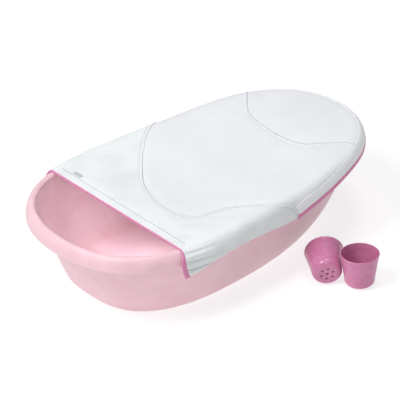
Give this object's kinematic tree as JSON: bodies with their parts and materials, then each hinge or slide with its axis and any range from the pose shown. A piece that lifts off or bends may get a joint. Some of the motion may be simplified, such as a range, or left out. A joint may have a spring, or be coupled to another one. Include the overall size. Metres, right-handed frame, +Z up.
{
  "type": "baby bathtub",
  "caption": "Oval moulded plastic baby bath with a rolled rim, a lift-off fabric newborn sling over its head end, and a scoop cup and a strainer cup beside it.",
  "frame": {"origin": "middle of the tub's flat underside, halfway along the rim; the foot pads reach 3 mm below it", "axes": "+X towards the head end, the covered end; +Y to the far side, away from the cups; +Z up"},
  "size_m": [0.7312, 0.5429, 0.19],
  "materials": {
    "tub_plastic": "light pink moulded polypropylene, satin",
    "foot_rubber": "dark grey soft rubber",
    "plug_rubber": "pink soft rubber",
    "white_mesh": "white warp-knitted polyester mesh",
    "padded_mesh": "white padded polyester mesh with fine ribs",
    "grey_mesh": "pale grey open knit mesh",
    "foam": "off-white open-cell foam",
    "pink_binding": "pink folded knit binding tape",
    "elastic": "white braided elastic",
    "grey_tag": "blank grey woven tag",
    "cup_plastic": "deep pink moulded polypropylene, satin"
  },
  "bodies": {
    "tub": {"tub_shell": "tub_plastic", "foot_pad_head_near": "foot_rubber", "foot_pad_head_far": "foot_rubber", "foot_pad_foot_near": "foot_rubber", "foot_pad_foot_far": "foot_rubber"},
    "drain_plug": {"drain_plug": "plug_rubber"},
    "sling": {"sling_front_panel": "grey_mesh", "sling_front_hem": "grey_mesh", "sling_centre_panel": "padded_mesh", "sling_head_panel": "padded_mesh", "sling_head_band": "white_mesh", "sling_side_panel_near": "grey_mesh", "sling_side_panel_far": "grey_mesh", "sling_pad_foam": "foam", "sling_pad_lining": "white_mesh", "sling_front_binding": "pink_binding", "sling_head_binding": "pink_binding", "sling_hem_elastic": "elastic", "sling_tag": "grey_tag"},
    "scoop_cup": {"scoop_cup": "cup_plastic"},
    "strainer_cup": {"strainer_cup": "cup_plastic"}
  },
  "joints": [
    {"name": "sling_lift", "type": "slide", "parent": "tub", "child": "sling", "axis": [0, 0, 1], "range_m": [0, 0.12]},
    {"name": "drain_plug_lift", "type": "slide", "parent": "tub", "child": "drain_plug", "axis": [0, 0, 1], "range_m": [0, 0.025]},
    {"name": "scoop_cup_lift", "type": "slide", "parent": "tub", "child": "scoop_cup", "axis": [0, 0, 1], "range_m": [0, 0.15]},
    {"name": "strainer_cup_lift", "type": "slide", "parent": "tub", "child": "strainer_cup", "axis": [-0.64, -0.14, 0.7555], "range_m": [0, 0.06]}
  ]
}
